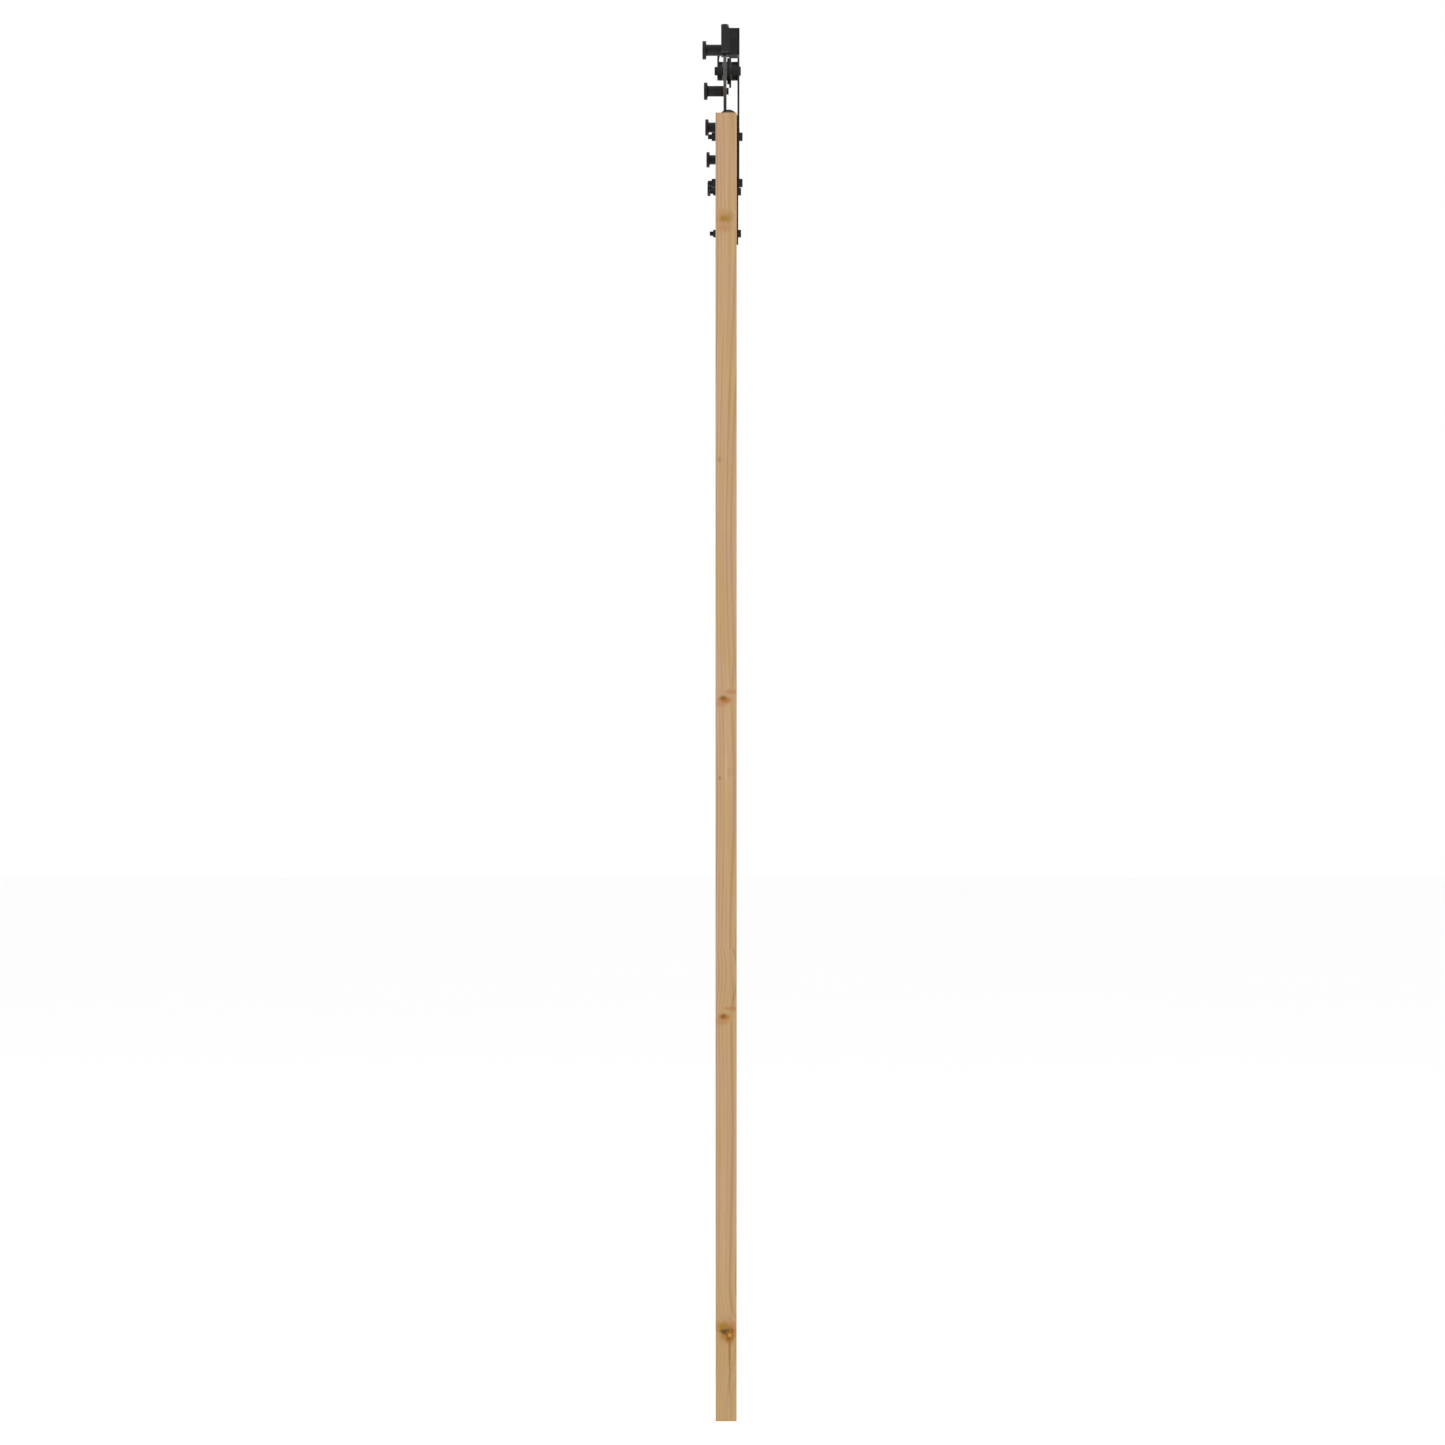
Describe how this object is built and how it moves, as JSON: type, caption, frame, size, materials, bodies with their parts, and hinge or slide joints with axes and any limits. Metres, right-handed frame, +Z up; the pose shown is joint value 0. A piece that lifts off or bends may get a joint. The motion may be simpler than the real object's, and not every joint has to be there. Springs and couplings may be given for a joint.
{
  "type": "sliding barn door with rail hardware",
  "caption": "Timber sliding door hung by bent steel straps from flanged rollers on a flat wall rail with standoffs and end stops.",
  "frame": {"origin": "on the wall plane, at the axis of the middle standoff: the rail's middle and centre height", "axes": "+X along the rail towards the far end, +Y into the wall, +Z up; the room is on the -Y side"},
  "size_m": [1.83, 0.0626, 2.2158],
  "materials": {
    "pine_frame": "oiled pine, satin",
    "pine_boards": "oiled pine, satin",
    "black_steel": "black powder coat, fine satin",
    "turned_black_steel": "black powder coat over turned steel",
    "black_fasteners": "blackened steel, satin",
    "bearing_steel": "ground bearing steel",
    "rubber": "matt black rubber",
    "black_nylon": "matt black nylon"
  },
  "bodies": {
    "rail_assembly": {"track_rail": "black_steel", "standoff_1": "turned_black_steel", "standoff_2": "turned_black_steel", "standoff_3": "turned_black_steel", "standoff_4": "turned_black_steel", "standoff_5": "turned_black_steel", "rail_bolts": "black_fasteners", "end_stop_clamp_near": "black_steel", "end_stop_bumper_near": "rubber", "end_stop_cover_near": "black_steel", "end_stop_clamp_far": "black_steel", "end_stop_bumper_far": "rubber", "end_stop_cover_far": "black_steel", "end_stop_set_screws": "black_fasteners", "bumper_screws": "black_fasteners"},
    "door": {"stile_near": "pine_frame", "stile_far": "pine_frame", "top_rail": "pine_frame", "middle_rail": "pine_frame", "bottom_rail": "pine_frame", "upper_board_1": "pine_boards", "upper_board_2": "pine_boards", "upper_board_3": "pine_boards", "upper_board_4": "pine_boards", "upper_board_5": "pine_boards", "lower_board_1": "pine_boards", "lower_board_2": "pine_boards", "lower_board_3": "pine_boards", "lower_board_4": "pine_boards", "lower_board_5": "pine_boards", "anti_jump_disc_near": "black_nylon", "anti_jump_disc_far": "black_nylon", "anti_jump_screws": "black_fasteners", "strap_bolts": "black_fasteners", "strap_nuts": "black_fasteners", "strap_washers": "black_fasteners", "axle_bolts": "black_fasteners", "axle_nuts": "black_fasteners", "hanger_strap_near": "black_steel", "wall_spacer_near": "turned_black_steel", "room_spacer_near": "turned_black_steel", "bearing_inner_near": "bearing_steel", "hanger_strap_far": "black_steel", "wall_spacer_far": "turned_black_steel", "room_spacer_far": "turned_black_steel", "bearing_inner_far": "bearing_steel"},
    "near_roller": {"roller_near": "turned_black_steel", "guard_disc_near": "turned_black_steel", "bearing_outer_near": "bearing_steel", "bearing_balls_near": "bearing_steel"},
    "far_roller": {"roller_far": "turned_black_steel", "guard_disc_far": "turned_black_steel", "bearing_outer_far": "bearing_steel", "bearing_balls_far": "bearing_steel"}
  },
  "joints": [
    {"name": "door_slide", "type": "slide", "parent": "rail_assembly", "child": "door", "axis": [1, 0, 0], "range_m": [-0.4585, 0.5445]},
    {"name": "near_roller_spin", "type": "hinge", "parent": "door", "child": "near_roller", "pos_m": [-0.396, -0.034, 0.0353], "axis": [0, 1, 0], "continuous": true},
    {"name": "far_roller_spin", "type": "hinge", "parent": "door", "child": "far_roller", "pos_m": [0.31, -0.034, 0.0353], "axis": [0, 1, 0], "continuous": true}
  ],
  "couplings": [
    {"joint": "near_roller_spin", "follows": "door_slide", "rad_per_m": 65.79},
    {"joint": "far_roller_spin", "follows": "door_slide", "rad_per_m": 65.79}
  ]
}
